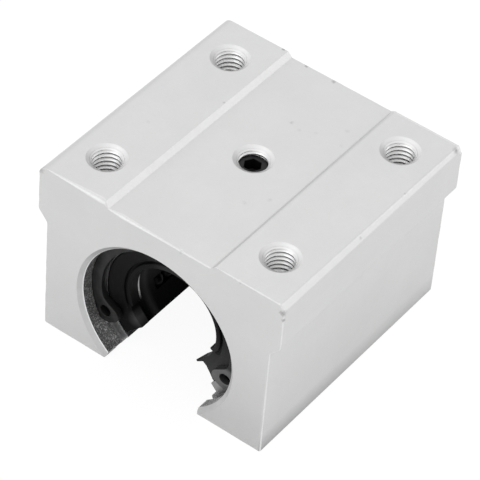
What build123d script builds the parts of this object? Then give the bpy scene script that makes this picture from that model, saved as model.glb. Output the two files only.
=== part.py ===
from build123d import *
import os
from math import asin, ceil, cos, degrees, floor, pi, radians, sin, sqrt, tan

# An open linear bearing block: an extruded aluminium housing on an open ball bushing,
# which runs along a round rail that is held from below through the slot.
# The origin is on the bore's axis at mid-length, +Y runs along the bore and +Z points up
# to the mounting pads. Lengths are in millimetres and angles in degrees.

# Housing section
block_width = 45.0
block_length = 45.0
axis_height = 20.0          # from the bore's axis up to the mounting pads
block_height = 31.6
body_width = 41.6           # below the flange
flange_side = 8.5           # upright side of the flange
flange_slope = 3.5          # height of the slope from the flange in to the body
channel_width = 20.4        # recess between the two pads, across its upper edges
channel_depth = 0.8
channel_bank = 0.8          # run of each of its sloping banks
top_rounding = 1.2
flange_rounding = 0.8
slope_rounding = 0.6
base_rounding = 0.5
lip_rounding = 0.25
edge_break = 0.35           # on the outline of both sawn ends
slot_width = 17.4           # between the lips of the housing

# Threaded holes of the housing: the mounting holes are at the diameter that they are drilled
# to, and the screw's hole is at its thread's outer diameter, where the screw fills it
mount_spacing_x = 32.0
mount_spacing_y = 30.0
mount_drill = 4.2
mount_depth = 12.0
mount_countersink = 6.1
screw_thread = 5.0
screw_countersink = 6.0
screw_length = 4.0
screw_socket = 2.5          # across the flats of its hexagon
screw_socket_depth = 2.0
screw_clearance = 0.05

# Bearing
shaft_diameter = 16.0
bearing_diameter = 28.0
bearing_recess = 4.0        # from each end of the block to the end of the bearing
bearing_turn = 2.7          # the bearing sits turned by this much about its axis
bore_clearance = 0.02
bore_chamfer = 1.0
sleeve_slot = 82.5          # angle of the steel sleeve's slot
end_pocket_diameter = 24.0  # counterbore in each end of the sleeve
end_pocket_depth = 3.0

# Seals, and the steel washers behind them
seal_clearance = 0.05
seal_dish = 0.65
seal_lip_width = 0.9        # radial width of the lip's ring
lip_clearance = 0.05        # between the lip and the shaft
seal_slot_mouth = 10.8      # slot of the seal at its lip
seal_slot_angle = 106.0     # full angle between its two cut edges
washer_thickness = 0.6

# Ball retainer and its four circuits
ball_diameter = 2.38
ball_gap = 0.04             # between two balls of a row
ball_play = 0.01            # between the loaded balls and the shaft
retainer_inset = 0.3        # the retainer clears the shaft by this much
retainer_clearance = 0.08
retainer_slot = 87.0
retainer_end_wall = 0.9
row_spacing = 72.0          # angle from one loaded row to the next
row_turn = 22.0             # angle from a loaded row to its return row
return_rise = 0.66          # the return row runs this much further out
pocket_clearance = 0.06
window_width = 2.1          # opening through which the loaded balls reach the shaft

# Retaining rings
ring_thickness = 1.2
ring_groove_width = 1.3
ring_groove_depth = 0.7
ring_clearance = 0.02
ring_width = 2.5
ring_turn = 1.5             # the rings sit turned by this much
lug_width = 4.5
lug_end_angle = 56.5        # from straight down to the end of each lug
lug_flat_span = 9.0
lug_slope_span = 12.5       # angle over which a lug narrows into the ring
lug_hole = 2.0
lug_hole_angle = 66.5
lug_rounding = 1.3
lug_blend = 2.2

overcut = 1.0               # cutters reach this far past the surface that they open

# Places that follow from the sizes
base_level = axis_height - block_height
channel_floor = axis_height - channel_depth
shaft_radius = shaft_diameter / 2
bearing_radius = bearing_diameter / 2
bearing_length = block_length - 2 * bearing_recess
bore_radius = bearing_radius + bore_clearance
bearing_end = bearing_length / 2
ball_radius = ball_diameter / 2
loaded_radius = shaft_radius + ball_play + ball_radius
raceway_radius = loaded_radius + ball_radius
return_radius = loaded_radius + return_rise
relief_radius = return_radius + ball_radius + pocket_clearance
pocket_half_width = ball_radius + pocket_clearance
ball_pitch = ball_diameter + ball_gap
retainer_half_length = bearing_end - end_pocket_depth
turn_radius = (loaded_radius + return_radius) / 2 * radians(row_turn) / 2
row_limit = 2 * (retainer_half_length - retainer_end_wall - pocket_half_width - turn_radius)
row_balls = floor(row_limit / ball_pitch) + 1
row_length = (row_balls - 1) * ball_pitch
groove_radius = bore_radius + ring_groove_depth


def along_bore(section, start, end):
    """Runs a section, drawn as X across and Z up, along the bore from start to end."""
    return extrude(Plane.XZ.offset(-end) * section, amount=end - start)


def turned(profile):
    """Revolves a closed profile of (radius, place along the bore) points about the bore."""
    outline = make_face(Polyline(*[(radius, place) for radius, place in profile], close=True))
    return revolve(outline, Axis.Y)


def polar(radius, angle):
    return (radius * cos(radians(angle)), radius * sin(radians(angle)))


def pie(radius, start, end):
    """A slice from the axis outward, which covers at least the given radius."""
    widest_step = 60
    steps = ceil((end - start) / widest_step)
    angles = [start + (end - start) * step / steps for step in range(steps + 1)]
    reach = radius / cos(radians((end - start) / steps / 2))
    return make_face(Polyline((0, 0), *[polar(reach, angle) for angle in angles], close=True))


def arc_band(inner, outer, start, end):
    """Part of a ring between two radii and two angles."""
    return (Circle(outer) - Circle(inner)) & pie(outer, start, end)


def corners_at(section, x, z):
    """The section's corners at a height, on both sides."""
    near = 0.001
    return [v for v in section.vertices() if abs(abs(v.X) - x) < near and abs(v.Y - z) < near]


def screw_hole(diameter, countersink, depth):
    """Cutter of a countersunk blind hole, mouth at the origin, running down."""
    radius = diameter / 2
    sink = countersink / 2
    points = [(0, 0), (sink, 0), (radius, radius - sink), (radius, -depth), (0, -depth)]
    return revolve(Plane.XZ * make_face(Polyline(*points, close=True)), Axis.Z)


def housing_section():
    """The extruded section, with the bore and the slot below it open to the base."""
    half = block_width / 2
    body = body_width / 2
    pad = channel_width / 2
    flange_foot = axis_height - flange_side
    slope_foot = flange_foot - flange_slope
    right = [(pad - channel_bank, channel_floor), (pad, axis_height), (half, axis_height),
             (half, flange_foot), (body, slope_foot), (body, base_level)]
    left = [(-x, z) for x, z in reversed(right)]
    section = make_face(Polyline(*right, *left, close=True))
    for x, z, rounding in ((half, axis_height, top_rounding), (half, flange_foot, flange_rounding),
                           (body, slope_foot, slope_rounding), (body, base_level, base_rounding)):
        section = fillet(corners_at(section, x, z), rounding)
    return section


def housing():
    """Aluminium block: extrusion, bored right through, with its lips, grooves and holes."""
    end = block_length / 2
    block = along_bore(housing_section(), -end, end)
    rims = [edge for y in (-end, end) for edge in block.edges().filter_by_position(Axis.Y, y, y)]
    block = chamfer(rims, edge_break)

    lip_foot = -sqrt(bore_radius ** 2 - (slot_width / 2) ** 2)
    opening = Circle(bore_radius) + Pos(0, base_level) * Rectangle(slot_width, -2 * base_level)
    opening = fillet(corners_at(opening, slot_width / 2, lip_foot), lip_rounding)
    block -= along_bore(opening, -end, end)

    rim_radius = bore_radius + bore_chamfer
    seat = bearing_end
    seat_end = seat + ring_groove_width
    for side in (-1, 1):
        face, inside = side * end, side * (end - bore_chamfer)
        block -= turned([(0, face), (rim_radius, face), (bore_radius, inside), (0, inside)])
        block -= turned([(radius, side * y) for radius, y in
                         ((0, seat), (groove_radius, seat), (groove_radius, seat_end), (0, seat_end))])

    mount_hole = screw_hole(mount_drill, mount_countersink, mount_depth)
    for x in (-mount_spacing_x / 2, mount_spacing_x / 2):
        for y in (-mount_spacing_y / 2, mount_spacing_y / 2):
            block -= Pos(x, y, axis_height) * mount_hole
    bearing_top = channel_floor - bearing_radius
    block -= Pos(0, 0, channel_floor) * screw_hole(screw_thread, screw_countersink, bearing_top)
    return block


def set_screw():
    """Headless screw above the bearing: hexagon socket on top, flat point on the sleeve."""
    radius = screw_thread / 2 - screw_clearance
    screw = extrude(Circle(radius), amount=screw_length)
    corner_radius = screw_socket / 2 / cos(pi / 6)
    socket = Pos(0, 0, screw_length - screw_socket_depth) * RegularPolygon(corner_radius, 6)
    screw -= extrude(socket, amount=screw_socket_depth)
    return Pos(0, 0, bearing_radius + bore_clearance) * screw


def slot_pie(radius, full_angle):
    """The slice that a slot of the given angle takes out, centred straight down."""
    return pie(radius, 270 - full_angle / 2, 270 + full_angle / 2)


def circuits():
    """Each ball circuit as its name, its loaded row's angle and its return row's angle."""
    names = ("lower_right", "upper_right", "upper_left", "lower_left")
    rows = []
    for step, name in enumerate(names, start=1):
        loaded = 270 + step * row_spacing
        towards_top = row_turn if name.endswith("right") else -row_turn
        rows.append((name, loaded, loaded + towards_top))
    return rows


def outer_sleeve():
    """Hardened steel sleeve: raceways inside for the loaded rows, relieved at the others."""
    section = Circle(bearing_radius) - Circle(raceway_radius)
    half_span = degrees(asin(pocket_half_width / return_radius))
    for _, _, row in circuits():
        section -= arc_band(raceway_radius - overcut, relief_radius, row - half_span, row + half_span)
    section -= slot_pie(bearing_radius, sleeve_slot)
    sleeve = along_bore(section, -bearing_end, bearing_end)
    turn_start = row_length / 2 + turn_radius - pocket_half_width
    for _, *rows in circuits():
        turn = arc_band(raceway_radius - overcut, relief_radius, min(rows) - half_span, max(rows) + half_span)
        sleeve -= along_bore(turn, turn_start, bearing_end)
        sleeve -= along_bore(turn, -bearing_end, -turn_start)
    pocket = end_pocket_diameter / 2
    for side in (-1, 1):
        face, pocket_floor = side * bearing_end, side * (bearing_end - end_pocket_depth)
        sleeve -= turned([(0, face), (pocket, face), (pocket, pocket_floor), (0, pocket_floor)])
    return sleeve


def circuit_pocket(loaded, returning):
    """Cutter of one circuit: a windowed channel, a closed channel and their two half turns."""
    outside = raceway_radius + overcut
    window_drop = sqrt(ball_radius ** 2 - (window_width / 2) ** 2)
    channel_floor_radius = loaded_radius - window_drop - pocket_clearance
    return_floor_radius = return_radius - ball_radius - pocket_clearance
    run = row_length / 2

    def channel(angle, width, inner):
        strip = Pos((inner + outside) / 2, 0) * Rectangle(outside - inner, width)
        return Rot(0, 0, angle) * strip

    reach = run + pocket_half_width
    pocket = along_bore(channel(loaded, 2 * pocket_half_width, channel_floor_radius), -reach, reach)
    pocket += along_bore(channel(loaded, window_width, shaft_radius - overcut), -reach, reach)
    pocket += along_bore(channel(returning, 2 * pocket_half_width, return_floor_radius), -reach, reach)

    middle = (loaded + returning) / 2
    across, up = polar(1, middle)
    tangent_plane = Plane(origin=(across * return_floor_radius, 0, up * return_floor_radius),
                          x_dir=(0, 1, 0), z_dir=(across, 0, up))
    turn_outer = turn_radius + pocket_half_width
    for side in (-1, 1):
        half = Circle(turn_outer) & Pos(side * turn_outer / 2, 0) * Rectangle(turn_outer, 2 * turn_outer)
        pocket += extrude(tangent_plane * (Pos(side * run, 0) * half), amount=outside - return_floor_radius)
    return pocket


def ball_retainer():
    """Moulded resin cage: a slotted tube with a track for each circuit of balls."""
    section = Circle(raceway_radius - retainer_clearance) - Circle(shaft_radius + retainer_inset)
    section -= slot_pie(raceway_radius, retainer_slot)
    cage = along_bore(section, -retainer_half_length, retainer_half_length)
    for _, loaded, returning in circuits():
        cage -= circuit_pocket(loaded, returning)
    return cage


def ball():
    """A steel ball with few faces: its corners lie on the ball's surface."""
    cube = [Vector(x, y, z).normalized() for x in (-1, 1) for y in (-1, 1) for z in (-1, 1)]
    poles = [Vector(*axis) * side for axis in ((1, 0, 0), (0, 1, 0), (0, 0, 1)) for side in (-1, 1)]
    return ConvexPolyhedron([corner * ball_radius for corner in cube + poles])


def ball_at(radius, angle, place):
    x, z = polar(radius, angle)
    return Pos(x, place, z) * Rot(0, -angle, 0) * ball()


def row_places():
    return [(count - (row_balls - 1) / 2) * ball_pitch for count in range(row_balls)]


def loaded_balls(loaded):
    """The balls between raceway and shaft."""
    return [ball_at(loaded_radius, loaded, place) for place in row_places()]


def return_balls(loaded, returning):
    """The balls on their way back, with the one in each half turn."""
    row = [ball_at(return_radius, returning, place) for place in row_places()]
    middle = (loaded + returning) / 2
    ends = [ball_at(return_radius, middle, side * (row_length / 2 + turn_radius)) for side in (-1, 1)]
    return row + ends


def seal_slot():
    """Section of the slot of a seal, wider outward than a radial cut."""
    lip = shaft_radius + lip_clearance
    mouth = seal_slot_mouth / 2
    mouth_level = -sqrt(lip ** 2 - mouth ** 2)
    slope = tan(radians(seal_slot_angle / 2))
    depth = bearing_radius
    apex = mouth_level + mouth / slope
    half = (depth + apex) * slope
    return make_face(Polyline((0, apex), (half, -depth), (-half, -depth), close=True))


def end_seal(side):
    """Black rubber seal: dished face, and the lip that wipes the shaft."""
    outer = end_pocket_diameter / 2 - seal_clearance
    lip = shaft_radius + lip_clearance
    lip_ring = lip + seal_lip_width
    thickness = end_pocket_depth - washer_thickness
    profile = [(outer, 0), (lip_ring, seal_dish), (lip, seal_dish), (lip, thickness), (outer, thickness)]
    seal = turned([(radius, side * (bearing_end - depth)) for radius, depth in profile])
    return seal - along_bore(seal_slot(), -bearing_end, bearing_end)


def seal_washer(side):
    """Steel washer between a seal and the retainer."""
    inner_place = bearing_end - end_pocket_depth
    outer_place = inner_place + washer_thickness
    outer = end_pocket_diameter / 2 - seal_clearance
    ring = Circle(outer) - Circle(shaft_radius + retainer_inset) - slot_pie(bearing_radius, retainer_slot)
    return along_bore(ring, *sorted((side * inner_place, side * outer_place)))


def below(radius, angle):
    """A place by its angle from straight down, positive to the right."""
    return (radius * sin(radians(angle)), -radius * cos(radians(angle)))


def vertices_near(section, *points):
    near = 0.01
    return [v for v in section.vertices() for x, z in points if abs(v.X - x) < near and abs(v.Y - z) < near]


def retaining_ring(side):
    """Internal retaining ring: an open ring with a holed lug at each end."""
    outer = groove_radius - ring_clearance
    inner = outer - ring_width
    lug_inner = outer - lug_width
    middle = (outer + inner) / 2
    flat_end = lug_end_angle + lug_flat_span
    slope_end = flat_end + lug_slope_span
    section = arc_band(inner, outer, lug_end_angle - 90, 270 - lug_end_angle)
    for hand in (-1, 1):
        tip, shoulder = below(lug_inner, hand * lug_end_angle), below(lug_inner, hand * flat_end)
        root = below(inner, hand * slope_end)
        backing = below(middle, hand * slope_end), below(middle, hand * lug_end_angle)
        section += make_face(Polyline(tip, shoulder, root, *backing, close=True))
        section = fillet(vertices_near(section, tip, shoulder), lug_rounding)
        section = fillet(vertices_near(section, root), lug_blend)
        section -= Pos(*below(outer - lug_width / 2, hand * lug_hole_angle)) * Circle(lug_hole / 2)
    near_face = bearing_end + ring_clearance
    return along_bore(section, *sorted((side * near_face, side * (near_face + ring_thickness))))


def write(name, *shapes, turn=0.0):
    """Writes one sub-part, turned by an angle about the bore's axis."""
    solids = [Rot(0, -turn, 0) * solid for shape in shapes for solid in shape.solids()]
    export_step(solids[0] if len(solids) == 1 else Compound(children=solids), f"parts/{name}.step")


os.makedirs("parts", exist_ok=True)
write("housing", housing())
write("set_screw", set_screw())
write("outer_sleeve", outer_sleeve(), turn=bearing_turn)
write("ball_retainer", ball_retainer(), turn=bearing_turn)
for end_name, end_side in (("front", -1), ("rear", 1)):
    write(f"{end_name}_end_seal", end_seal(end_side), turn=bearing_turn)
    write(f"{end_name}_seal_washer", seal_washer(end_side), turn=bearing_turn)
    write(f"{end_name}_retaining_ring", retaining_ring(end_side), turn=ring_turn)
for circuit, loaded_angle, return_angle in circuits():
    write(f"{circuit}_loaded_balls", *loaded_balls(loaded_angle), turn=bearing_turn)
    write(f"{circuit}_return_balls", *return_balls(loaded_angle, return_angle), turn=bearing_turn)
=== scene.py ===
from math import atan2, ceil, cos, degrees, pi, radians, sin, sqrt, tan

import bmesh
import bpy
from mathutils import Matrix, Vector, noise


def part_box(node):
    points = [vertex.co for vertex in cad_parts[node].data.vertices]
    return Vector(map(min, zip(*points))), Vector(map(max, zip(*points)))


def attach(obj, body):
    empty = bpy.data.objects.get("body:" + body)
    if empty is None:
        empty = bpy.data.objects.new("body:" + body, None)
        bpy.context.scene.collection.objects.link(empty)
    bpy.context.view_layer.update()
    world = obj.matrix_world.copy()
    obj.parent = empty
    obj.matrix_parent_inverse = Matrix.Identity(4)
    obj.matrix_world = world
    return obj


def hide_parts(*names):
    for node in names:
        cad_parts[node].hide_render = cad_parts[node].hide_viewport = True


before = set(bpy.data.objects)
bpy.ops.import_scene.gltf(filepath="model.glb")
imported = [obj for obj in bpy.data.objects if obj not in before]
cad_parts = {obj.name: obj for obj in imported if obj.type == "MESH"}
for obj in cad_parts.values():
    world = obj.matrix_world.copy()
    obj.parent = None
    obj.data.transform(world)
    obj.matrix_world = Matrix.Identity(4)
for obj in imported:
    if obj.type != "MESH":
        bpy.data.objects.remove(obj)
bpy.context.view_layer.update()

# Housing: a length of extruded aluminium bar, blasted to a matte silver skin. It is sawn off,
# bored and grooved for the bearing, slotted below, drilled and tapped from the top, and its
# sawn ends are deburred with a file by hand. Sizes are in millimetres in the row frame.
mm = 0.001
block_low, block_high = (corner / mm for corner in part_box("housing"))
half_width, half_length = block_high.x, block_high.y
foot_drop = 0.2
pad_level, base_level = block_high.z, block_low.z - foot_drop
body_half_width = 20.8
base_rounding = 0.35
flange_side = 8.75
flange_slope = 1.95
slope_rounding, flange_rounding = 1.2, 1.4
# The pads' outer edges at the front end, -1, and at the rear end, 1: the right one has a chamfer,
# given as its size across and down, and the left one a rounding.
pad_chamfers = {-1: (0.7, 1.05), 1: (0.5, 0.75)}
pad_roundings = {-1: 1.6, 1: 1.35}
chamfer_rounding = 0.4
channel_half_width = 10.2
channel_depth = 0.8
channel_bank = 0.8
channel_level = pad_level - channel_depth
bore_radius = 14.02
bore_chamfer = 0.73
slot_half_width = 8.7
lip_rounding = 0.25
slot_rounding = 0.6
groove_radius = 14.72
groove_walls = (18.5, 19.8)
round_steps = 160
corner_steps = 6
overcut = 2.0
skin_finish, filed_finish, bored_finish, tapped_finish, rim_finish = range(5)


def rounded(corners, steps=8):
    """Closed outline through corners (x, z, radius), with an arc at each that has a radius."""
    points = []
    for index, (x, z, radius) in enumerate(corners):
        corner = Vector((x, z))
        if not radius:
            points.append(corner)
            continue
        back = (Vector(corners[index - 1][:2]) - corner).normalized()
        ahead = (Vector(corners[(index + 1) % len(corners)][:2]) - corner).normalized()
        half = back.angle(ahead) / 2
        centre = corner + (back + ahead).normalized() * radius / sin(half)
        start = corner + back * radius / tan(half) - centre
        end = corner + ahead * radius / tan(half) - centre
        sweep = pi - 2 * half
        for step in range(steps + 1):
            share = step / steps
            arm = start * sin((1 - share) * sweep) + end * sin(share * sweep)
            points.append(centre + arm / sin(sweep))
    return points


def inset(outline, widths):
    """The outline, drawn anticlockwise, moved inward square to its edges by each point's width."""
    least_mitre = 0.5
    moved = []
    for index, point in enumerate(outline):
        before, after = outline[index - 1], outline[(index + 1) % len(outline)]
        into = [Vector((-edge.y, edge.x)).normalized() for edge in (point - before, after - point)]
        mitre = (into[0] + into[1]).normalized()
        moved.append(point + mitre * widths[index] / max(mitre.dot(into[0]), least_mitre))
    return moved


def skin(mesh, rings, finish=0):
    """Joins rings of points, equal in number, with bands of faces, and closes both ends."""
    made = [[mesh.verts.new(point) for point in ring] for ring in rings]
    count = len(made[0])
    for lower, upper in zip(made, made[1:]):
        for index in range(count):
            after = (index + 1) % count
            face = mesh.faces.new((lower[index], lower[after], upper[after], upper[index]))
            face.material_index = finish
    mesh.faces.new(made[0][::-1]).material_index = finish
    mesh.faces.new(made[-1]).material_index = finish


def lathe(profile, axis, finish=0, steps=round_steps):
    """A turned solid: a profile of (radius, place) points, which starts and ends on the axis."""
    mesh = bmesh.new()
    across = Vector((0, 0, 1)) if axis.y else Vector((0, 1, 0))
    side = axis.cross(across)
    least_radius = 1e-4
    angles = [2 * pi * step / steps for step in range(steps)]
    rings = []
    for radius, place in profile:
        arm = max(radius, least_radius)
        rings.append([axis * place + (across * cos(a) + side * sin(a)) * arm for a in angles])
    skin(mesh, rings, finish=finish)
    return mesh


def made_object(name, mesh, crease=30):
    """Turns a mesh in millimetres into an object in metres, with edges sharp above the crease."""
    same_place = 1e-5
    bmesh.ops.remove_doubles(mesh, verts=mesh.verts, dist=same_place)
    bmesh.ops.recalc_face_normals(mesh, faces=mesh.faces)
    for face in mesh.faces:
        face.smooth = True
    for edge in mesh.edges:
        edge.smooth = edge.is_manifold and edge.calc_face_angle() < radians(crease)
    mesh.transform(Matrix.Scale(mm, 4))
    data = bpy.data.meshes.new(name)
    mesh.to_mesh(data)
    mesh.free()
    thing = bpy.data.objects.new(name, data)
    bpy.context.scene.collection.objects.link(thing)
    return thing


def cut(block, cutters):
    """Takes the cutters out of a mesh, in order, and gives the mesh that is left."""
    solid = made_object("uncut", block)
    tools = [made_object("cutter", cutter) for cutter in cutters]
    for tool in tools:
        step = solid.modifiers.new("cut", "BOOLEAN")
        step.operation, step.solver, step.object = "DIFFERENCE", "EXACT", tool
    bpy.context.view_layer.update()
    left = bmesh.new()
    left.from_mesh(solid.evaluated_get(bpy.context.evaluated_depsgraph_get()).to_mesh())
    left.transform(Matrix.Scale(1 / mm, 4))
    for thing in (solid, *tools):
        bpy.data.meshes.remove(thing.data)
    return left


# The sawn ends' edges are filed by hand: thin along most of the block, wide beside the left step,
# with a few nicks. The marks give the filed width at places across the front end's top edge, and
# the nicks what they add to it. At the rear end only the right pad's edge is filed wide.
filed_marks = ((-22.5, 0.03), (-21, 0.05), (-19, 0.2), (-16, 0.36), (-11, 0.68), (-10.2, 0.5),
               (-9.6, 0.12), (-7, 0.5), (-3, 0.36), (1, 0.22), (9, 0.16), (9.6, 0.03),
               (11, 0.03), (12, 0.14), (21.3, 0.14), (22.5, 0.3))
nicks = ((3.9, 0.3), (14.4, 0.2), (5.5, 0.1), (-13.2, 0.12), (18.2, 0.1))
nick_reach = 0.35
top_edge = channel_level - 0.5
even_width, even_wobble, even_scale = 0.15, 0.09, 0.5
top_wobble, top_scale, least_width = 0.04, 1.6, 0.02
rear_share, rear_pad_width, rear_blend = 0.6, 0.6, 0.5


def filed_width(x, z, y):
    """How wide the file has cut at a place on an end's outline."""
    even = even_width + even_wobble * noise.noise(Vector((x * even_scale, y, z * even_scale)))
    if z < top_edge:
        return even
    if y > 0:
        on_right_pad = min(1, max(0, (x - channel_half_width) / rear_blend + 1))
        return rear_share * even + rear_pad_width * on_right_pad
    wobble = top_wobble * noise.noise(Vector((x * top_scale, 0, 0)))
    wobble += sum(extra * max(0, 1 - abs(x - nick) / nick_reach) for nick, extra in nicks)
    for (x_from, from_width), (x_to, to_width) in zip(filed_marks, filed_marks[1:]):
        if x_from <= x <= x_to:
            marked = from_width + (to_width - from_width) * (x - x_from) / (x_to - x_from)
            return max(least_width, marked + wobble)
    return even


flange_foot = pad_level - flange_side
slope_foot = flange_foot - flange_slope


def half_section(pad_edge):
    """Corners of the bar's right half, from the foot up to the recess between the pads."""
    return [(body_half_width, base_level, base_rounding), (body_half_width, slope_foot, slope_rounding),
            (half_width, flange_foot, flange_rounding), *pad_edge, (channel_half_width, pad_level, 0),
            (channel_half_width - channel_bank, channel_level, 0)]


bars = {}
for end, (across, down) in pad_chamfers.items():
    right_edge = [(half_width, pad_level - down, chamfer_rounding),
                  (half_width - across, pad_level, chamfer_rounding)]
    left_edge = [(half_width, pad_level, pad_roundings[end])]
    mirrored_half = [(-x, z, radius) for x, z, radius in reversed(half_section(left_edge))]
    bars[end] = rounded(half_section(right_edge) + mirrored_half)
# Both ends' outlines get the same number of points, close enough to follow the file's marks.
outlines = {-1: [], 1: []}
longest_step = 0.35
for index, start in enumerate(bars[-1]):
    after = (index + 1) % len(bars[-1])
    pieces = ceil((bars[-1][after] - start).length / longest_step)
    for end, bar in bars.items():
        outlines[end] += [bar[index].lerp(bar[after], step / pieces) for step in range(pieces)]

# The bar between its two ends, with the filed edge as a few narrow bands at each. A band's place is
# given in shares of the filed width, inward on the end and along the block.
block = bmesh.new()
rings = []
filing = ((0.85, 0), (0.6, 0.1), (0.3, 0.42), (0.1, 0.8), (0, 1.2))
for end, outline in outlines.items():
    widths = [filed_width(point.x, point.y, end * half_length) for point in outline]
    stations = []
    for across, along in filing:
        moved = inset(outline, [width * across for width in widths])
        stations.append([(p.x, end * (half_length - width * along), p.y) for p, width in zip(moved, widths)])
    rings += stations if end < 0 else stations[::-1]
skin(block, rings, finish=skin_finish)
block.normal_update()
least_tilt, most_tilt = 0.1, 0.99
for face in block.faces:
    if least_tilt < abs(face.normal.y) < most_tilt:
        face.material_index = filed_finish

# The bore and the slot below it are one cutter: it widens at the foot, and its lips are rounded.
nose_centre = Vector((slot_half_width + lip_rounding,
                      -sqrt((bore_radius + lip_rounding) ** 2 - (slot_half_width + lip_rounding) ** 2)))
towards_axis = atan2(-nose_centre.y, -nose_centre.x)
nose = []
for step in range(corner_steps + 1):
    angle = pi + (towards_axis - pi) * step / corner_steps
    nose.append(nose_centre + Vector((cos(angle), sin(angle))) * lip_rounding)
arc_start = atan2(nose[-1].y, nose[-1].x)
arc = []
for step in range(1, round_steps):
    angle = arc_start + (pi - 2 * arc_start) * step / round_steps
    arc.append(Vector((cos(angle), sin(angle))) * bore_radius)
foot_corner = Vector((slot_half_width + slot_rounding, base_level + slot_rounding))
right_wall = [Vector((foot_corner.x, base_level - overcut))]
for step in range(corner_steps + 1):
    angle = pi / 2 * step / corner_steps
    right_wall.append(foot_corner - Vector((sin(angle), cos(angle))) * slot_rounding)
right_wall += nose
keyhole = right_wall + arc + [Vector((-p.x, p.y)) for p in reversed(right_wall)]
opening = bmesh.new()
beyond_ends = (-half_length - overcut, half_length + overcut)
skin(opening, [[(p.x, y, p.y) for p in keyhole] for y in beyond_ends], finish=bored_finish)
cutters = [opening]
rim = [(0, half_length + overcut), (bore_radius + bore_chamfer + overcut, half_length + overcut),
       (bore_radius, half_length - bore_chamfer), (0, half_length - bore_chamfer)]
groove = [(0, groove_walls[0]), (groove_radius, groove_walls[0]),
          (groove_radius, groove_walls[1]), (0, groove_walls[1])]
for end in (-1, 1):
    for turned, cut_finish in ((rim, rim_finish), (groove, bored_finish)):
        profile = [(radius, end * place) for radius, place in turned]
        cutters.append(lathe(profile, Vector((0, 1, 0)), finish=cut_finish))

# Four blind holes in the pads, and one in the recess that goes through to the bore, each with a
# countersink. The mouth is its rounded edge, as places beyond its radius and above the face.
thread_radius = 2.6
thread_pitch = 0.8
thread_crest = 2.27
sink_radius = 3.12
sink_depth = 0.32
mouth = ((0.5, overcut), (0.1, 0), (0.02, -0.03), (-0.1, -0.1))
hole_depth, point_depth = 12.0, 1.5
middle_hole_end = 13
hole_steps = 64
hole_columns, hole_rows, middle_row = (-16, 16), (-14.75, 15.25), 0.1
hole_places = [(x, y, pad_level) for x in hole_columns for y in hole_rows]
hole_places.append((0, middle_row, channel_level))
for x, y, level in hole_places:
    depth = hole_depth if level == pad_level else channel_level - middle_hole_end
    profile = [(0, overcut)] + [(sink_radius + beyond, height) for beyond, height in mouth]
    profile += [(thread_radius, -sink_depth), (thread_radius, -depth), (0, -depth - point_depth)]
    hole = lathe(profile, Vector((0, 0, 1)), finish=tapped_finish, steps=hole_steps)
    hole.transform(Matrix.Translation((x, y, level)))
    cutters.append(hole)
housing_mesh = cut(block, cutters)
thread_steps = 40
thread_rise = 0.2
thread_cone = 0.6
foot_half, crest_half = 0.5, 0.15
first_share, growth, least_ridge = 0.3, 3, 0.05
thread_inset = 0.02
thread_depth, middle_thread_depth = 11.0, 5


def helix(mesh, centre, top, bottom, root, crest, finish=0):
    """The turns of a thread as one ridge, cut to a cone at the top and fading at both ends.

    The ridge's half widths at its foot and crest are shares of the pitch. It starts a little
    above the top, where the cone leaves only its lower side.
    """
    count = int((top - bottom) / thread_pitch * thread_steps)
    rings = []
    for step in range(count + 1):
        angle = 2 * pi * step / thread_steps
        fade = min(1, first_share + growth * step / thread_steps, (count - step) / thread_steps)
        height = top + thread_rise - thread_pitch * step / thread_steps
        edge = root + (crest - root) * (least_ridge + (1 - least_ridge) * fade)
        ring = []
        for radius, lift in ((root, -foot_half), (edge, -crest_half), (edge, crest_half), (root, foot_half)):
            z = min(height + lift * thread_pitch, top - abs(radius - root) * thread_cone)
            ring.append((centre[0] + radius * cos(angle), centre[1] + radius * sin(angle), z))
        rings.append(ring)
    skin(mesh, rings, finish=finish)


for x, y, level in hole_places:
    top = level - sink_depth
    bottom = level - (thread_depth if level == pad_level else middle_thread_depth)
    helix(housing_mesh, (x, y), top, bottom, thread_radius - thread_inset, thread_crest, tapped_finish)
housing = made_object("block", housing_mesh)
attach(housing, "root")
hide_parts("housing")
even_out = housing.modifiers.new("flat faces", "WEIGHTED_NORMAL")
even_out.keep_sharp, even_out.weight = True, 100


class Shade:
    """A socket of a material's nodes: sums on it add Math nodes, and node() adds any other."""

    def __init__(self, tree, socket=None):
        self.tree, self.socket = tree, socket

    def node(self, kind, settings, sockets, output=0):
        """Adds a node of a kind: its settings first, then its sockets' values or links."""
        added = self.tree.nodes.new("ShaderNode" + kind)
        for name, value in settings.items():
            setattr(added, name, value)
        for name, value in sockets.items():
            if isinstance(value, Shade):
                self.tree.links.new(value.socket, added.inputs[name])
            else:
                added.inputs[name].default_value = value
        return Shade(self.tree, added.outputs[output]) if added.outputs else None

    def __add__(self, other):
        return self.node("Math", {"operation": "ADD"}, {0: self, 1: other})

    def __mul__(self, other):
        if isinstance(other, tuple):
            return self.node("VectorMath", {"operation": "MULTIPLY"}, {0: self, 1: other})
        return self.node("Math", {"operation": "MULTIPLY"}, {0: self, 1: other})

    def __sub__(self, other):
        return self.node("Math", {"operation": "SUBTRACT"}, {0: self, 1: other})

    def __rsub__(self, other):
        return self.node("Math", {"operation": "SUBTRACT"}, {0: other, 1: self})

    def largest(self, other):
        return self.node("Math", {"operation": "MAXIMUM"}, {0: self, 1: other})

    def clamped(self):
        return self.node("Clamp", {}, {"Value": self})

    __radd__, __rmul__ = __add__, __mul__


def begin(name):
    """A new material and the place on the piece, as a socket in metres."""
    material = bpy.data.materials.new(name)
    material.use_nodes = True
    material.node_tree.nodes.clear()
    return material, Shade(material.node_tree).node("TexCoord", {}, {}, "Object")


def surface(material, place, sockets):
    """Ends a material with one shader of the given sockets."""
    shader = place.node("BsdfPrincipled", {}, sockets)
    place.node("OutputMaterial", {}, {"Surface": shader})
    return material


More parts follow.
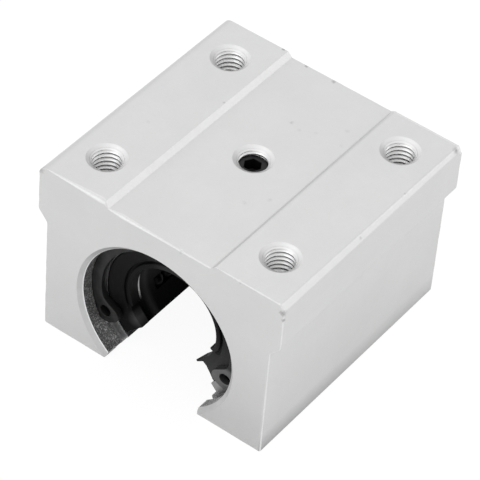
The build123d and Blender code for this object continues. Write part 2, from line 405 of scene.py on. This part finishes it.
def grain(place, size, detail=3.0):
    """Noise from 0 to 1 whose spots are about the given size in millimetres."""
    return place.node("TexNoise", {}, {"Vector": place, "Scale": 1 / (size * mm), "Detail": detail}, "Fac")


def coordinate(place, axis):
    """One coordinate of the place, as a socket in metres."""
    return place.node("SeparateXYZ", {}, {"Vector": place}, axis)


def away_from(place, point):
    """Distance from a point given in millimetres, as a socket in metres."""
    x, y, z = point
    return place.node("VectorMath", {"operation": "DISTANCE"}, {0: place, 1: (x * mm, y * mm, z * mm)}, 1)


def grey(level):
    """A colour without a tint."""
    return (level, level, level, 1)


def blend_colours(place, mask, first, second):
    """The first colour where the mask is 0 and the second where it is 1."""
    return place.node("Mix", {"data_type": "RGBA"}, {0: mask, 6: first, 7: second}, 2)


def bumps(place, height, depth):
    """A normal bent by a height from 0 to 1 over a depth in millimetres."""
    return place.node("Bump", {}, {"Height": height, "Distance": depth * mm, "Strength": 1.0})


# Specks and dents of the skin, on the pads, in the recess and at the edges, as x, y, z, size and
# strength. The bias is taken off the fine grain that makes their edges ragged.
specks = ((-0.5, 10.3, 19.2, 0.45, 0.5), (-10.4, 6.4, 20, 0.35, 0.5), (4.8, -8.4, 19.2, 0.6, 0.2),
          (7.2, -5.5, 19.2, 0.6, 0.25), (3.9, -22.5, 18.9, 0.45, 0.35), (-11, 22.3, 20, 0.5, 1),
          (-6.5, 22.3, 19.2, 0.5, 1), (-1.2, 22.1, 19.2, 0.6, 0.7), (22.2, 21, 19.7, 0.8, 1),
          (-22.3, -22.3, 19.2, 1.1, 0.8), (21.8, 8, 19.8, 0.35, 0.6), (22.2, -3.6, 19.6, 0.5, 0.5),
          (22.2, -22.4, 18.6, 0.85, 1), (22.5, -22.4, 17.3, 0.55, 1), (1.4, 9.7, 19.2, 0.5, 0.2),
          (7.0, 14.3, 19.2, 0.6, 0.2), (-16.3, -4.6, 20, 0.5, 0.2), (3.7, 10.8, 19.2, 0.5, 0.15),
          (8.2, 11.0, 19.2, 0.5, 0.15), (14.6, -22.5, 19.7, 0.35, 0.35))
speck_bias = 0.65


def speckled(place, fine):
    """1 on a speck or a dent, with a ragged edge, and 0 elsewhere."""
    spots = None
    for x, y, z, size, strength in specks:
        nearness = (size * mm - away_from(place, (x, y, z))) * (1 / (size * mm))
        spot = (nearness + fine - speck_bias) * strength
        spots = spot if spots is None else spots.largest(spot)
    return spots.clamped()


def blasted_skin():
    """Matte silver: blasted aluminium with faint clouds, specks and dents.

    Painted shade darkens it low down, most at the front right, and at the foot of the right side.
    The shade is placed by the tones of the photograph.
    """
    material, place = begin("blasted_aluminium")
    clouds = grain(place, 9.0, 2.0)
    fine = grain(place, 0.3)
    blotches = grain(place, 1.6, 2.0)
    shade = blend_colours(place, clouds, grey(0.63), grey(0.69))
    shade = blend_colours(place, blotches * 0.5, shade, grey(0.62))
    dark = speckled(place, fine)
    sideways, along, height = (coordinate(place, axis) for axis in "XYZ")
    side_start, side_blend = 20.3 * mm, 0.3 * mm
    shade_top, shade_reach, foot_reach = 9 * mm, 22 * mm, 3.8 * mm
    flank = ((sideways - side_start) * (1 / side_blend)).clamped()
    # The painted shade grows to the right on the front end, and from the rear to the front everywhere.
    spread = sideways.largest(0.0) * (1 - flank) * 6 + sideways * 0.9 - along * 1.6 + 0.067
    low = ((shade_top - height) * (1 / shade_reach)).clamped() * spread.clamped()
    foot = ((base_level * mm + foot_reach - height) * (1 / foot_reach)).clamped()
    painted_shade_and_oil_film = (low * 1.1 + foot * flank * (0.36 - along * 5)).clamped()
    # Painted shade: the skin turns dark grey low down and at the foot of the right side.
    shade = blend_colours(place, painted_shade_and_oil_film, shade, grey(0.2))
    return surface(material, place, {
        "Base Color": blend_colours(place, dark, shade, grey(0.28)), "Metallic": 0.85,
        "Roughness": fine * 0.14 + 0.42, "Normal": bumps(place, fine - dark, 0.015)})


def filed_edge():
    """Bare aluminium where the file has cut: brighter than the skin, with the same dents."""
    material, place = begin("filed_aluminium")
    strokes = grain(place, 0.25)
    shade = blend_colours(place, strokes, grey(0.66), grey(0.8))
    return surface(material, place, {
        "Base Color": blend_colours(place, speckled(place, strokes), shade, grey(0.25)),
        "Metallic": 0.85, "Roughness": 0.45, "Normal": bumps(place, strokes, 0.02)})


def bored():
    """The bored wall: rough and dull, painted dark as shade inside the bore, with chatter marks and bright
    torn spots.
    """
    material, place = begin("bored_aluminium")
    marks = grain(place, 0.22, 4.0)
    patches = grain(place, 4.0, 2.0)
    torn = ((marks - 0.55) * 7 + patches * 0.6).clamped()
    # The dark grey base is painted shade inside the bore.
    return surface(material, place, {
        "Base Color": blend_colours(place, torn, grey(0.23), grey(0.8)), "Metallic": 0.85,
        "Roughness": marks * 0.2 + 0.35, "Normal": bumps(place, marks, 0.05)})


def tapped():
    """Countersunk and tapped aluminium, with a painted highlight on the walls that face the front end.

    The photograph shows those walls, and their brightness is taken from it.
    """
    material, place = begin("tapped_aluminium")
    marks = grain(place, 0.3)
    facing = place.node("TexCoord", {}, {}, "Normal")
    # Painted highlight on the walls that face the front end.
    painted_highlight = (0.3 - coordinate(facing, "Y")).clamped()
    return surface(material, place, {
        "Base Color": blend_colours(place, painted_highlight, grey(0.52), grey(0.95)), "Metallic": 0.9,
        "Roughness": marks * 0.12 + 0.34, "Normal": bumps(place, marks, 0.015)})


def turned_rim():
    """The bore's chamfer: turned, a little darker than the skin, with a painted highlight on its left inner
    edge.
    """
    material, place = begin("turned_aluminium")
    marks = grain(place, 0.4)
    patches = grain(place, 3.0)
    radius = place.node("VectorMath", {"operation": "LENGTH"}, {0: place * (1, 0, 1)}, 1)
    left_blend, highlight_width, highlight_blend = 2.5 * mm, 0.16 * mm, 0.1 * mm
    on_left = (coordinate(place, "X") * (-1 / left_blend)).clamped()
    # Painted highlight along the chamfer's inner edge, on the left only.
    edge = (bore_radius * mm + highlight_width - radius) * (1 / highlight_blend) + marks - 0.5
    painted_edge_highlight = edge.clamped() * on_left
    shade = blend_colours(place, patches, grey(0.47), grey(0.67))
    return surface(material, place, {
        "Base Color": blend_colours(place, painted_edge_highlight, shade, grey(0.85)), "Metallic": 0.85,
        "Roughness": marks * 0.15 + 0.4, "Normal": bumps(place, marks, 0.02)})


for finish in (blasted_skin(), filed_edge(), bored(), tapped(), turned_rim()):
    housing.data.materials.append(finish)

# Sleeve of the bearing: bearing steel, hardened and ground, slotted for the rail's web. It slides
# into the bore, and the two retaining rings and the set screw hold it there.


def ground_steel():
    """Ground bearing steel, with painted shade behind the holes of the ring's lugs.

    It is painted darker, as shade, at the right and above the middle, as the photograph's tones are.
    """
    material, place = begin("ground_steel")
    marks = grain(place, 0.5)
    hole_shade_reach, hole_shade_blend = 1.3 * mm, 0.2 * mm
    # Painted shade behind the holes of the ring's lugs.
    shade_behind_lug_holes = None
    for x, z in ((11.54, -4.66), (-11.28, -5.26)):
        away = away_from(place * (1, 0, 1), (x, 0, z))
        patch = ((hole_shade_reach - away) * (1 / hole_shade_blend)).clamped()
        shade_behind_lug_holes = patch if shade_behind_lug_holes is None else shade_behind_lug_holes.largest(patch)
    # Painted shade at the right and above the middle.
    right_start, dull_blend, upper_start, upper_blend = 7 * mm, 1 * mm, 1 * mm, 3 * mm
    right = ((coordinate(place, "X") - right_start) * (1 / dull_blend)).clamped() * 0.45
    upper = ((coordinate(place, "Z") - upper_start) * (1 / upper_blend)).clamped() * 0.9
    shade = blend_colours(place, marks, grey(0.45), grey(0.65))
    shade = blend_colours(place, right.largest(upper), shade, grey(0.05))
    return surface(material, place, {
        "Base Color": blend_colours(place, shade_behind_lug_holes, shade, grey(0.02)), "Metallic": 1.0,
        "Roughness": marks * 0.1 + 0.3, "Normal": bumps(place, marks, 0.003)})


steel = ground_steel()
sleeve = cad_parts["outer_sleeve"]
sleeve.data.materials.clear()
sleeve.data.materials.append(steel)

# Ball retainer: black resin, moulded in one piece with its four tracks. The end seals keep it
# in the sleeve.


def moulded_resin():
    """Black moulded resin with a satin skin, and a grey band near the front end.

    The band stands for a grey streak that the photograph shows there.
    """
    material, place = begin("black_resin")
    pores = grain(place, 0.4)
    band_place, band_half_width = 14.2 * mm, 1 * mm
    past_band = (coordinate(place, "Y") + band_place) * (1 / band_half_width)
    grey_band = (1 - past_band.largest(past_band * -1)).clamped()
    return surface(material, place, {
        "Base Color": blend_colours(place, grey_band + pores * 0.2, grey(0.002), grey(0.03)),
        "Specular IOR Level": 0.06, "Roughness": pores * 0.15 + 0.4, "Normal": bumps(place, pores, 0.01)})


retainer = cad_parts["ball_retainer"]
retainer.data.materials.clear()
retainer.data.materials.append(moulded_resin())

# Washers: plain steel, stamped, one between the retainer and each seal. They are painted dark as
# shade, with a painted highlight on a stretch of the inner edge on the left, where the photograph
# shows a bright crescent.


def steel_with_painted_crescent():
    """Steel painted dark as shade, with a painted highlight on the left of the inner edge."""
    material, place = begin("steel_with_painted_crescent")
    smears = grain(place, 0.8)
    # Painted highlight: a bright crescent on the left of the inner edge, the rest painted dark as shade.
    away = away_from(place * (1, 0, 1), (-8.2, 0, -0.8))
    crescent_reach = 2.4 * mm
    painted_crescent = ((crescent_reach - away) * (1.2 / mm) + smears * 0.4).clamped()
    return surface(material, place, {
        "Base Color": blend_colours(place, painted_crescent, grey(0.02), grey(0.6)), "Metallic": 1.0,
        "Roughness": smears * 0.1 + 0.3})


washer_finish = steel_with_painted_crescent()
for end in ("front", "rear"):
    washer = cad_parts[f"{end}_seal_washer"]
    washer.data.materials.clear()
    washer.data.materials.append(washer_finish)

# Balls: polished bearing steel, in four circuits. The loaded ones stand in the windows of the
# retainer and roll on the rail, and the others are on their way back behind its walls.
bearing_turn = 2.7
ball_radius = 1.19
ball_pitch = 2.42
loaded_radius = 9.2
return_radius = 9.86
row_balls = 10
row_spacing, row_turn = 72, 22
half_turn_place = 12.7215
straight_down = 270


def polished_ball():
    """Polished steel under oil, painted black as shade in the upper rows and at the left front.

    Those places are dark because the photograph shows no bright ball there.
    """
    material, place = begin("oiled_balls")
    painted_shade_and_oil_film = grain(place, 0.6)
    sideways, along, height = (coordinate(place, axis) for axis in "XYZ")
    front_start, front_blend, left_blend, upper_blend = 2 * mm, 3 * mm, 1 * mm, 2 * mm
    left = (sideways * (-1 / left_blend)).clamped()
    front = ((along + front_start) * (-1 / front_blend)).clamped()
    upper = (height * (1 / upper_blend)).clamped()
    # Painted shade: the balls turn black in the upper rows and at the left front.
    painted_ball_shade = (left * front + upper).clamped()
    unshaded = blend_colours(place, painted_shade_and_oil_film, grey(0.3), grey(0.6))
    return surface(material, place, {
        "Base Color": blend_colours(place, painted_ball_shade, unshaded, grey(0.008)), "Metallic": 1.0,
        "Roughness": painted_shade_and_oil_film * 0.15 + painted_ball_shade * 0.3 + 0.15})


ball_finish = polished_ball()
row = [(step - (row_balls - 1) / 2) * ball_pitch for step in range(row_balls)]
for number, circuit in enumerate(("lower_right", "upper_right", "upper_left", "lower_left"), start=1):
    loaded = straight_down + number * row_spacing + bearing_turn
    turn = row_turn if circuit.endswith("right") else -row_turn
    centres = {"loaded": [(loaded_radius, loaded, place) for place in row],
               "return": [(return_radius, loaded + turn, place) for place in row]
               + [(return_radius, loaded + turn / 2, side * half_turn_place) for side in (-1, 1)]}
    for kind, places in centres.items():
        mesh = bmesh.new()
        for radius, angle, place in places:
            centre = (radius * cos(radians(angle)), place, radius * sin(radians(angle)))
            bmesh.ops.create_icosphere(mesh, subdivisions=3, radius=ball_radius,
                                       matrix=Matrix.Translation(centre))
        balls = made_object(f"{circuit}_{kind}_row", mesh)
        balls.data.materials.append(ball_finish)
        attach(balls, "root")
        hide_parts(f"{circuit}_{kind}_balls")

# End seals: black rubber, moulded, pressed into the sleeve's ends. Each has a dished face, a
# groove and a lip that wipes the rail, and a slot that widens outward.
bearing_end = 18.5
seal_outer = 11.95
seal_inner = 8.05
seal_slot_slope = radians(53)
seal_slot_half = 5.4
seal_apex = seal_slot_half / tan(seal_slot_slope) - sqrt(seal_inner ** 2 - seal_slot_half ** 2)
seal_back = 2.4
inner_edge_depth = 0.85
# Section of the face, as radii and depths below the bearing's end: the dish, then the groove and
# the lip inside it.
dish_foot = 9.42
dish = [(seal_outer, 0.12), (seal_outer - 0.12, 0.0), (seal_outer - 0.55, 0.03),
        (seal_outer - 0.75, 0.12), (10.4, 0.38), (9.6, 0.6), (dish_foot, 0.66)]
lip_outer, lip_bend = 9.35, 0.6
lip = [(lip_outer, 0.75), (9.33, 1.04), (9.26, 1.1), (9.04, 1.1), (8.97, 1.04), (8.95, 0.75),
       (8.88, 0.66), (8.75, 0.63), (8.25, 0.64), (8.1, 0.7), (seal_inner, inner_edge_depth),
       (seal_inner, seal_back)]
# The lip ends at an angle from straight down, where its right end curls inward, and a flat land
# goes on to the slot.
lip_end = 69.0
curl_span, curl_most = 9, 0.8
left_land, right_land = 8.65, 8.15
land_depth, land_slope, land_steps = 0.67, 0.004, len(lip) - 2
land_bevel = 0.05


def seal_section(turn, straight):
    """Section of a seal at an angle from straight down, with its lip's right end straight or curled."""
    inner = right_land if turn > 0 else left_land
    land = [(dish_foot + (inner - dish_foot) * step / land_steps, land_depth + land_slope * step)
            for step in range(1, land_steps + 1)]
    land += [(inner - land_bevel, inner_edge_depth), (inner - land_bevel, seal_back)]
    blend = min(1, max(0, abs(turn) - lip_end))
    near_end = min(1, max(0, (lip_end + curl_span - turn) / curl_span))
    curl = 0 if straight or turn < 0 else curl_most * near_end ** 2
    section = []
    for (lip_radius, on_lip), (land_radius, on_land) in zip(lip, land):
        bent = lip_radius - curl * min(1, (lip_outer - lip_radius) / lip_bend)
        section.append((land_radius + (bent - land_radius) * blend, on_land + (on_lip - on_land) * blend))
    return dish + section


def slot_angle(radius):
    """Angle from straight down at which a seal's cut edge crosses a radius."""
    level = seal_apex * cos(seal_slot_slope)
    reach = level + sqrt(level ** 2 - seal_apex ** 2 + radius ** 2)
    return atan2(reach * sin(seal_slot_slope), reach * cos(seal_slot_slope) - seal_apex)


def seal_rubber():
    """Black rubber with a satin skin, lighter grey at the lower right, beside the slot and at the top."""
    material, place = begin("seal_rubber")
    wear_and_painted_light = grain(place, 1.2)
    fine = grain(place, 0.15)
    grey_patches = None
    for x, z, reach in ((9.5, -8, 9), (-6.6, -5.6, 1.7), (-1.5, 11.5, 5)):
        patch = (1 - away_from(place * (1, 0, 1), (x, 0, z)) * (1 / (reach * mm))).clamped()
        grey_patches = patch if grey_patches is None else grey_patches.largest(patch)
    return surface(material, place, {
        "Base Color": blend_colours(place, wear_and_painted_light * 0.15 + grey_patches, grey(0.001), grey(0.055)),
        "Specular IOR Level": 0.06, "Roughness": wear_and_painted_light * 0.3 + 0.3, "Normal": bumps(place, fine, 0.006)})


rubber = seal_rubber()
seal_steps = 280
middle_radius = 9
# Thin flash sticks out into the slot from the front seal's right inner corner.
flash_radius, flash_depth, flash_reach = 8.5, 0.9, radians(8.5)
for end, side in (("front", -1), ("rear", 1)):
    mesh = bmesh.new()
    rings = []
    for step in range(seal_steps + 1):
        first = slot_angle(middle_radius)
        middle = first + (2 * pi - 2 * first) * step / seal_steps
        turn = (degrees(middle) + 180) % 360 - 180
        ring = []
        for radius, depth in seal_section(turn, straight=side > 0):
            start = slot_angle(radius)
            if side < 0 and step == 0 and radius < flash_radius and depth < flash_depth:
                start -= flash_reach
            angle = start + (2 * pi - 2 * start) * step / seal_steps + radians(bearing_turn)
            ring.append((radius * sin(angle), side * (bearing_end - depth), -radius * cos(angle)))
        rings.append(ring)
    skin(mesh, rings)
    seal = made_object(f"{end}_lip_seal", mesh, crease=40)
    seal.data.materials.append(rubber)
    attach(seal, "root")
    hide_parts(f"{end}_end_seal")

# Retaining rings: spring steel, stamped and phosphated dark, with a holed lug at each end for
# pliers. They snap into the housing's grooves against the ends of the sleeve.
ring_turn = 1.5
ring_outer = 14.7
ring_inner = 12.2
lug_inner = 10.2
lug_end, lug_flat_end, lug_slope_end = 56.5, 65.5, 78.0
lug_hole_angle, lug_hole_place = 66.5, 12.45
lug_hole_radius, lug_hole_steps = 1.0, 32
outer_rounding, lug_rounding, lug_slope_rounding = 2.2, 1.3, 2.2
outer_arc, inner_arc = range(69, 292, 3), range(-88, -271, -3)
ring_thickness = 1.2
ring_edge = 0.1
ring_gap = 0.02


def below(radius, angle):
    """A place by its angle from straight down, positive to the right."""
    return radius * sin(radians(angle)), -radius * cos(radians(angle))


def spring_steel():
    """Dark phosphated spring steel, rubbed lighter here and there, with painted light at the right lug."""
    material, place = begin("dark_spring_steel")
    # Painted light at the right lug, on top of lighter rubbed spots.
    away = away_from(place * (1, 0, 1), (11.5, 0, -5.5))
    lit_lug_reach = 3.5 * mm
    wear_and_painted_light = grain(place, 1.5) + ((lit_lug_reach - away) * (1.2 / mm)).clamped() * 2.2
    fine = grain(place, 0.2)
    return surface(material, place, {
        "Base Color": blend_colours(place, wear_and_painted_light * 0.33, grey(0.01), grey(0.15)),
        "Metallic": 0.8, "Specular IOR Level": 0.15, "Roughness": fine * 0.15 + 0.38,
        "Normal": bumps(place, fine, 0.008)})


ring_finish = spring_steel()
for end, side in (("front", -1), ("rear", 1)):
    corners = [(*below(ring_outer, lug_end), outer_rounding)]
    corners += [(*below(ring_outer, angle), 0) for angle in outer_arc]
    corners += [(*below(ring_outer, -lug_end), outer_rounding), (*below(lug_inner, -lug_end), lug_rounding),
                (*below(lug_inner, -lug_flat_end), lug_rounding),
                (*below(ring_inner, -lug_slope_end), lug_slope_rounding)]
    corners += [(*below(ring_inner, angle), 0) for angle in inner_arc]
    corners += [(*below(ring_inner, lug_slope_end), lug_slope_rounding),
                (*below(lug_inner, lug_flat_end), lug_rounding), (*below(lug_inner, lug_end), lug_rounding)]
    stamping = bpy.data.curves.new("stamping", "CURVE")
    stamping.dimensions, stamping.fill_mode = "2D", "BOTH"
    stamping.extrude, stamping.bevel_depth = ring_thickness / 2 - ring_edge, ring_edge
    stamping.offset, stamping.bevel_resolution = -ring_edge, 2
    holes = []
    for hand in (-1, 1):
        x, z = below(lug_hole_place, hand * lug_hole_angle)
        angles = [2 * pi * step / lug_hole_steps for step in range(lug_hole_steps)]
        holes.append([(x + lug_hole_radius * cos(a), z + lug_hole_radius * sin(a)) for a in angles])
    for loop in [[tuple(point) for point in rounded(corners)], *holes]:
        spline = stamping.splines.new("POLY")
        spline.points.add(len(loop) - 1)
        for point, (x, z) in zip(spline.points, loop):
            point.co = (x, z, 0, 1)
        spline.use_cyclic_u = True
    pattern = bpy.data.objects.new("stamping", stamping)
    bpy.context.scene.collection.objects.link(pattern)
    mesh = bmesh.new()
    mesh.from_mesh(pattern.to_mesh())
    bpy.data.objects.remove(pattern)
    middle = side * (bearing_end + ring_gap + ring_thickness / 2)
    upright = Matrix.Rotation(radians(-ring_turn), 4, "Y") @ Matrix.Rotation(radians(90), 4, "X")
    mesh.transform(Matrix.Translation((0, middle, 0)) @ upright)
    ring = made_object(f"{end}_snap_ring", mesh, crease=50)
    ring.data.materials.append(ring_finish)
    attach(ring, "root")
    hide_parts(f"{end}_retaining_ring")

# Set screw: black steel, headless, with a hexagon socket. It is screwed down on the sleeve, and
# its top stands below the recess.
screw_low, screw_high = (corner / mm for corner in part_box("set_screw"))
screw_root, screw_crest = 2.15, 2.5
screw_steps = 96
screw_bevel, screw_edge = 0.1, 0.05
screw_end_turn = 0.3
socket_half = 1.25
socket_depth, socket_point = 2.0, 0.5
socket_bevel, socket_edge = 0.08, 0.06
socket_middle = 0.01


def hexagon(angle):
    """Distance from the middle to the socket's wall at an angle."""
    return socket_half / cos((angle % (pi / 3)) - pi / 6)


def black_steel():
    """Black oxide steel with an oily gloss."""
    material, place = begin("black_oxide")
    fine = grain(place, 0.2)
    return surface(material, place, {
        "Base Color": (0.014, 0.014, 0.015, 1), "Metallic": 0.7, "Roughness": fine * 0.15 + 0.25,
        "Normal": bumps(place, fine, 0.004)})


top = screw_high.z
mesh = bmesh.new()
columns = []
for step in range(screw_steps):
    angle = 2 * pi * step / screw_steps
    wall = hexagon(angle)
    stations = ((socket_middle, top - socket_depth - socket_point), (wall, top - socket_depth),
                (wall, top - socket_bevel), (wall + socket_edge, top), (screw_root - screw_edge, top),
                (screw_root, top - screw_bevel), (screw_root, screw_low.z))
    columns.append([(radius * cos(angle), radius * sin(angle), height) for radius, height in stations])
skin(mesh, list(zip(*columns)))
helix(mesh, (0, 0), top - screw_bevel, screw_low.z + screw_end_turn,
      screw_root - thread_inset, screw_crest)
screw = made_object("socket_set_screw", mesh)
screw.data.materials.append(black_steel())
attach(screw, "root")
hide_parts("set_screw")

# Floor: a white table, which carries on past the view on every side.
floor_gap, floor_half = 0.02, 3000
floor_level = base_level - floor_gap
table = bmesh.new()
table.faces.new([table.verts.new((x * floor_half, y * floor_half, floor_level))
                 for x, y in ((-1, -1), (1, -1), (1, 1), (-1, 1))])
floor = made_object("floor", table)
white, place = begin("white_table")


def glowing_white(shadowed, glow):
    """White that glows by itself, so that only the shadowed share shows a shadow."""
    diffuse = place.node("BsdfDiffuse", {}, {"Color": grey(shadowed)})
    emission = place.node("Emission", {}, {"Color": grey(1), "Strength": glow})
    return place.node("AddShader", {}, {0: diffuse, 1: emission})


# The view sees a nearly shadowless white, mirrors see a greyer one, and light falls on plain white.
rays = {name: place.node("LightPath", {}, {}, f"Is {name} Ray")
        for name in ("Camera", "Glossy", "Transmission")}
lit = place.node("BsdfDiffuse", {}, {"Color": grey(0.7)})
seen = glowing_white(0.1, 0.93)
mirrored = glowing_white(0.55, 0.52)
by_mirror = rays["Glossy"].largest(rays["Transmission"])
unseen = place.node("MixShader", {}, {0: by_mirror, 1: lit, 2: mirrored})
floor_finish = place.node("MixShader", {}, {0: rays["Camera"], 1: unseen, 2: seen})
place.node("OutputMaterial", {}, {"Surface": floor_finish})
floor.data.materials.append(white)

# Studio light: a white room and three soft lamps, a weak one high at the left rear, one at the
# left front and the strongest at the right rear. Their angles are from the front and upward.
world = bpy.data.worlds.new("studio")
bpy.context.scene.world = world
world.use_nodes = True
room = world.node_tree.nodes["Background"]
room.inputs["Color"].default_value = grey(1)
room.inputs["Strength"].default_value = 0.95


def soft_lamp(name, azimuth, elevation, distance, size, power):
    """A square lamp that faces the object."""
    data = bpy.data.lights.new(name, "AREA")
    data.shape, data.size, data.energy = "SQUARE", size, power
    lamp = bpy.data.objects.new(name, data)
    bpy.context.scene.collection.objects.link(lamp)
    a, e = radians(azimuth), radians(elevation)
    lamp.location = Vector((sin(a) * cos(e), -cos(a) * cos(e), sin(e))) * distance
    lamp.rotation_euler = lamp.location.to_track_quat("Z", "Y").to_euler()


soft_lamp("above", azimuth=-146, elevation=55, distance=0.7, size=0.3, power=0.18)
soft_lamp("front", azimuth=-25, elevation=40, distance=0.6, size=0.45, power=0.42)
soft_lamp("back", azimuth=128, elevation=23, distance=0.9, size=0.6, power=0.95)

# Camera: at the photograph's place, which was worked out from the block's corners, holes and
# outlines. Its distance and offsets are in millimetres from the middle of the pads.
azimuth, elevation, roll = radians(33.70), radians(43.97), radians(5.06)
distance, aside, upward = 437.9, -2.01, -12.61
focal_pixels, frame_pixels = 2954.5, 480
back = Vector((sin(azimuth) * cos(elevation), -cos(azimuth) * cos(elevation), sin(elevation)))
right = Vector((0, 0, 1)).cross(back).normalized()
up = back.cross(right)
right, up = cos(roll) * right + sin(roll) * up, cos(roll) * up - sin(roll) * right
camera_data = bpy.data.cameras.new("camera")
camera_data.lens = focal_pixels / frame_pixels * camera_data.sensor_width
camera_data.clip_start, camera_data.clip_end = 0.01, 20
camera = bpy.data.objects.new("camera", camera_data)
bpy.context.scene.collection.objects.link(camera)
stand = (right * aside + up * upward + back * distance + Vector((0, 0, pad_level))) * mm
camera.matrix_world = Matrix.Translation(stand) @ Matrix((right, up, back)).transposed().to_4x4()
bpy.context.scene.camera = camera
bpy.context.scene.view_settings.view_transform = "Standard"
